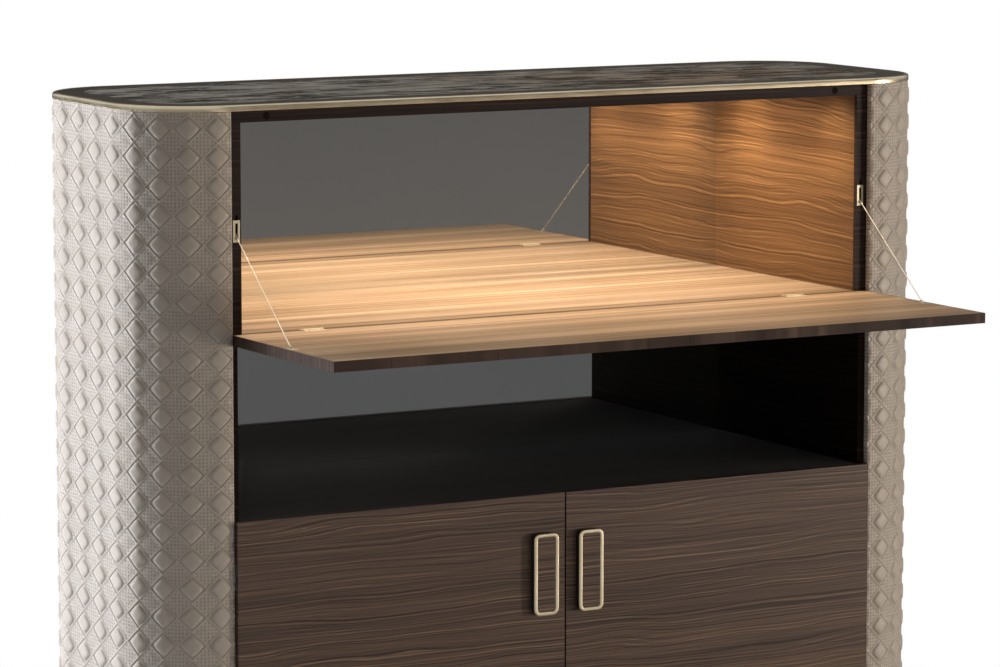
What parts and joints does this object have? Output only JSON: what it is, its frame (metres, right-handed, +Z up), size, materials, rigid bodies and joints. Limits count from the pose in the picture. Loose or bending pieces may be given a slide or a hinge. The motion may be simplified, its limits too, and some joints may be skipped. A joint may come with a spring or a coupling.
{
  "type": "highboard",
  "caption": "Highboard with a drop-flap bar on stay cables, an open mirrored niche, a pair of doors, rounded quilted end pods and a stone top in a metal rim.",
  "frame": {"origin": "on the floor, under the middle of the body, at the underside of the centre foot", "axes": "+X to the right along the long side, -Y to the front where the flap and the doors open, +Z up"},
  "size_m": [1.503, 0.83, 1.35],
  "materials": {
    "plinth_black": "matt black lacquer",
    "foot_black": "moulded, matt",
    "champagne_bronze": "satin champagne bronze",
    "dark_bronze": "dark bronze top, satin champagne edge",
    "walnut_dark": "open-pored matt lacquer on dark walnut veneer",
    "walnut_black": "near-black stained veneer",
    "walnut_light": "satin lacquer on natural walnut veneer",
    "marble": "polished dark veined marble",
    "mirror": "clear mirror",
    "plywood": "bent plywood, unfinished",
    "quilted_leather": "embossed quilted faux leather, greige",
    "lamp_metal": "satin",
    "lamp_lens": "frosted, lit warm white",
    "white_plastic": "matt",
    "fittings_gold": "satin pale gold",
    "steel": "zinc plated",
    "retractor_black": "matt",
    "stay_wire": "pale gold coated steel wire",
    "handle_black": "matt black"
  },
  "bodies": {
    "cabinet": {"plinth": "plinth_black", "levelling_feet": "foot_black", "base_rim": "champagne_bronze", "bottom_panel": "walnut_dark", "side_left": "walnut_dark", "side_right": "walnut_dark", "back_panel": "walnut_dark", "centre_partition": "walnut_dark", "shelf_left": "walnut_dark", "shelf_right": "walnut_dark", "shelf_pins": "steel", "niche_floor": "walnut_black", "bar_floor": "walnut_dark", "bar_floor_lining": "walnut_light", "bar_liner_left": "walnut_light", "bar_liner_right": "walnut_light", "edge_post_left": "walnut_dark", "edge_post_right": "walnut_dark", "top_board": "walnut_dark", "top_rim": "dark_bronze", "marble_top": "marble", "niche_mirror": "mirror", "bar_mirror": "mirror", "pod_core_left": "plywood", "pod_core_right": "plywood", "upholstery_left": "quilted_leather", "upholstery_right": "quilted_leather", "led_housings": "lamp_metal", "led_lenses": "lamp_lens", "led_driver": "white_plastic", "led_lead": "white_plastic", "stay_keeper_left": "fittings_gold", "stay_keeper_right": "fittings_gold", "stay_guide_tubes": "fittings_gold", "stay_retractor_left": "retractor_black", "stay_retractor_right": "retractor_black", "flap_hinge_floor_leaves": "fittings_gold", "flap_hinge_pins": "fittings_gold", "flap_catches": "steel", "door_hinge_side_leaves": "steel"},
    "flap": {"flap_panel": "walnut_dark", "flap_lining": "walnut_light", "flap_hinge_flap_leaves": "fittings_gold", "stay_bracket_left": "fittings_gold", "stay_bracket_right": "fittings_gold", "stay_cable_left": "stay_wire", "stay_cable_right": "stay_wire", "flap_strikes": "steel"},
    "door_left": {"door_left": "walnut_dark", "door_hinge_leaves_left": "steel", "door_hinge_pins_left": "steel", "handle_body_left": "handle_black", "handle_frame_left": "fittings_gold", "handle_inlay_left": "walnut_dark"},
    "door_right": {"door_right": "walnut_dark", "door_hinge_leaves_right": "steel", "door_hinge_pins_right": "steel", "handle_body_right": "handle_black", "handle_frame_right": "fittings_gold", "handle_inlay_right": "walnut_dark"}
  },
  "joints": [
    {"name": "flap_fold", "type": "hinge", "parent": "cabinet", "child": "flap", "pos_m": [0, -0.232, 0.9835], "axis": [-1, 0, 0], "range_deg": [0, 90], "deforming": ["stay_cable_left", "stay_cable_right"]},
    {"name": "door_left_swing", "type": "hinge", "parent": "cabinet", "child": "door_left", "pos_m": [-0.6005, -0.245, 0.383], "axis": [0, 0, -1], "range_deg": [0, 100]},
    {"name": "door_right_swing", "type": "hinge", "parent": "cabinet", "child": "door_right", "pos_m": [0.6005, -0.245, 0.383], "axis": [0, 0, 1], "range_deg": [0, 100]}
  ]
}
